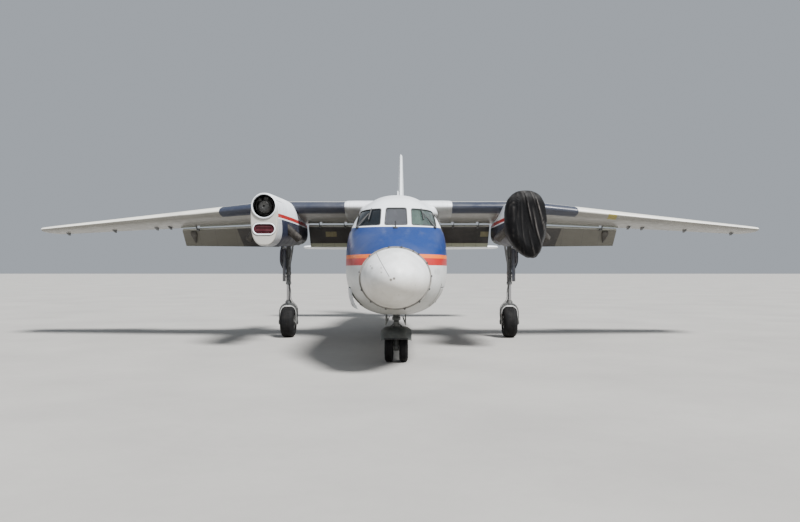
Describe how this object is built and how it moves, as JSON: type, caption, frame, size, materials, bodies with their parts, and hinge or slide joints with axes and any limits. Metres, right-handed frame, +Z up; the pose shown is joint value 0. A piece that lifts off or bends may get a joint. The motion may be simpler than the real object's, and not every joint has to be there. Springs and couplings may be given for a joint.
{
  "type": "turboprop airliner",
  "caption": "Small high-wing commuter airliner parked on its wheels, propellers off, flaps down, one engine under a fabric cover; control surfaces, doors and wheels move",
  "frame": {"origin": "on the ground under the middle of the aircraft's bounding box", "axes": "+Z up, nose towards -Y, the aircraft's left wing towards +X"},
  "size_m": [17, 15.7, 5.52],
  "materials": {
    "radome_paint": "satin",
    "nose_paint": "gloss",
    "fuselage_paint": "gloss",
    "tail_paint": "gloss",
    "wing_paint": "satin",
    "flap_paint": "satin",
    "nacelle_paint": "satin",
    "engine_metal": "satin",
    "shaft_metal": "satin",
    "hub_metal": "satin",
    "gear_paint": "satin",
    "plug_red": "matte",
    "cover_fabric": "matte",
    "glazing": "polished",
    "cockpit_trim": "matte",
    "seat_trim": "matte",
    "tyre": "matte"
  },
  "bodies": {
    "airframe": {"radome": "radome_paint", "fuselage_nose": "nose_paint", "fuselage_cabin": "fuselage_paint", "fuselage_tail": "tail_paint", "wing_fairing": "fuselage_paint", "wing_center": "wing_paint", "wing_outer_left": "wing_paint", "wing_outer_right": "wing_paint", "nacelle_left": "nacelle_paint", "nacelle_right": "nacelle_paint", "cowl_left": "nacelle_paint", "cowl_right": "nacelle_paint", "engine_left": "engine_metal", "engine_right": "engine_metal", "intake_plug_right": "plug_red", "engine_cover": "cover_fabric", "main_leg_left": "gear_paint", "main_leg_right": "gear_paint", "nose_leg": "gear_paint", "cockpit_glazing": "glazing", "cockpit_panel": "cockpit_trim", "seat_left": "seat_trim", "seat_right": "seat_trim", "tailplane": "tail_paint", "fin": "tail_paint"},
    "flap_inner_left": {"flap_inner_left": "flap_paint"},
    "flap_inner_right": {"flap_inner_right": "flap_paint"},
    "flap_outer_left": {"flap_outer_left": "flap_paint"},
    "flap_outer_right": {"flap_outer_right": "flap_paint"},
    "aileron_left": {"aileron_left": "wing_paint"},
    "aileron_right": {"aileron_right": "wing_paint"},
    "elevator_left": {"elevator_left": "tail_paint"},
    "elevator_right": {"elevator_right": "tail_paint"},
    "rudder": {"rudder": "tail_paint"},
    "prop_shaft_left": {"prop_shaft_left": "shaft_metal"},
    "prop_shaft_right": {"prop_shaft_right": "shaft_metal"},
    "main_wheel_left": {"main_left_tyre": "tyre", "main_left_hub": "hub_metal"},
    "main_wheel_right": {"main_right_tyre": "tyre", "main_right_hub": "hub_metal"},
    "nose_steering": {"nose_fork": "gear_paint"},
    "nose_wheels": {"nose_left_tyre": "tyre", "nose_right_tyre": "tyre", "nose_hubs": "hub_metal"},
    "main_door_left": {"main_door_left": "nacelle_paint"},
    "main_door_right": {"main_door_right": "nacelle_paint"},
    "nose_door_left": {"nose_door_left": "gear_paint"},
    "nose_door_right": {"nose_door_right": "gear_paint"},
    "nose_hatch_left": {"nose_hatch_left": "nose_paint"},
    "nose_hatch_right": {"nose_hatch_right": "nose_paint"},
    "passenger_door": {"passenger_door": "fuselage_paint"}
  },
  "joints": [
    {"name": "flap_inner_left_hinge", "type": "hinge", "parent": "airframe", "child": "flap_inner_left", "pos_m": [1, -0.46863, 2.62608], "axis": [-1, 0, 0], "range_deg": [-50, 0]},
    {"name": "flap_inner_right_hinge", "type": "hinge", "parent": "airframe", "child": "flap_inner_right", "pos_m": [-1, -0.46863, 2.62608], "axis": [-1, 0, 0], "range_deg": [-50, 0]},
    {"name": "flap_outer_left_hinge", "type": "hinge", "parent": "airframe", "child": "flap_outer_left", "pos_m": [3, -0.46722, 2.62448], "axis": [-0.999, -0.027, 0.036], "range_deg": [-50, 0]},
    {"name": "flap_outer_right_hinge", "type": "hinge", "parent": "airframe", "child": "flap_outer_right", "pos_m": [-3, -0.46722, 2.62448], "axis": [-0.999, 0.027, -0.036], "range_deg": [-50, 0]},
    {"name": "aileron_left_hinge", "type": "hinge", "parent": "airframe", "child": "aileron_left", "pos_m": [6.72, -0.29098, 2.60739], "axis": [-0.9978, -0.0124, 0.0648], "range_deg": [-22, 22]},
    {"name": "aileron_right_hinge", "type": "hinge", "parent": "airframe", "child": "aileron_right", "pos_m": [-6.72, -0.29098, 2.60739], "axis": [-0.9978, 0.0124, -0.0648], "range_deg": [-22, 22]},
    {"name": "elevator_left_hinge", "type": "hinge", "parent": "airframe", "child": "elevator_left", "pos_m": [1.695, 6.4355, 2.33], "axis": [-1, 0.0097, 0], "range_deg": [-25, 20]},
    {"name": "elevator_right_hinge", "type": "hinge", "parent": "airframe", "child": "elevator_right", "pos_m": [-1.695, 6.4355, 2.33], "axis": [-1, -0.0097, 0], "range_deg": [-25, 20]},
    {"name": "rudder_hinge", "type": "hinge", "parent": "airframe", "child": "rudder", "pos_m": [0, 6.94, 4.025], "axis": [0, 0.2136, 0.9769], "range_deg": [-25, 25]},
    {"name": "prop_shaft_left_spin", "type": "hinge", "parent": "airframe", "child": "prop_shaft_left", "pos_m": [2.6, -3.963, 2.829], "axis": [0, 1, 0], "continuous": true},
    {"name": "prop_shaft_right_spin", "type": "hinge", "parent": "airframe", "child": "prop_shaft_right", "pos_m": [-2.6, -3.963, 2.829], "axis": [0, 1, 0], "continuous": true},
    {"name": "main_wheel_left_spin", "type": "hinge", "parent": "airframe", "child": "main_wheel_left", "pos_m": [2.6, -0.9, 0.36], "axis": [1, 0, 0], "continuous": true},
    {"name": "main_wheel_right_spin", "type": "hinge", "parent": "airframe", "child": "main_wheel_right", "pos_m": [-2.6, -0.9, 0.36], "axis": [1, 0, 0], "continuous": true},
    {"name": "nose_steering_turn", "type": "hinge", "parent": "airframe", "child": "nose_steering", "pos_m": [0, -5.65, 0.5], "axis": [0, 0, 1], "range_deg": [-50, 50]},
    {"name": "nose_wheels_spin", "type": "hinge", "parent": "nose_steering", "child": "nose_wheels", "pos_m": [0, -5.65, 0.25], "axis": [1, 0, 0], "continuous": true},
    {"name": "main_door_left_hinge", "type": "hinge", "parent": "airframe", "child": "main_door_left", "pos_m": [2.82, -0.43, 2.145], "axis": [0, 1, 0], "range_deg": [0, 92]},
    {"name": "main_door_right_hinge", "type": "hinge", "parent": "airframe", "child": "main_door_right", "pos_m": [-2.82, -0.43, 2.145], "axis": [0, -1, 0], "range_deg": [0, 92]},
    {"name": "nose_door_left_hinge", "type": "hinge", "parent": "airframe", "child": "nose_door_left", "pos_m": [0.166, -6.0775, 0.832], "axis": [0, 1, 0], "range_deg": [0, 88]},
    {"name": "nose_door_right_hinge", "type": "hinge", "parent": "airframe", "child": "nose_door_right", "pos_m": [-0.166, -6.0775, 0.832], "axis": [0, -1, 0], "range_deg": [0, 88]},
    {"name": "nose_hatch_left_hinge", "type": "hinge", "parent": "airframe", "child": "nose_hatch_left", "pos_m": [0.78513, -6.07, 1.3], "axis": [-0.1297, -0.9916, 0], "range_deg": [0, 90]},
    {"name": "nose_hatch_right_hinge", "type": "hinge", "parent": "airframe", "child": "nose_hatch_right", "pos_m": [-0.78513, -6.07, 1.3], "axis": [-0.1297, 0.9916, 0], "range_deg": [-20, 70]},
    {"name": "passenger_door_hinge", "type": "hinge", "parent": "airframe", "child": "passenger_door", "pos_m": [0.69688, 1.3, 1.05], "axis": [0, 1, 0], "range_deg": [0, 120]}
  ],
  "couplings": [
    {"joint": "flap_inner_right_hinge", "follows": "flap_inner_left_hinge", "ratio": 1},
    {"joint": "flap_outer_left_hinge", "follows": "flap_inner_left_hinge", "ratio": 1},
    {"joint": "flap_outer_right_hinge", "follows": "flap_inner_left_hinge", "ratio": 1},
    {"joint": "aileron_right_hinge", "follows": "aileron_left_hinge", "ratio": -1},
    {"joint": "elevator_right_hinge", "follows": "elevator_left_hinge", "ratio": 1},
    {"joint": "main_door_right_hinge", "follows": "main_door_left_hinge", "ratio": 1},
    {"joint": "nose_door_right_hinge", "follows": "nose_door_left_hinge", "ratio": 1}
  ]
}
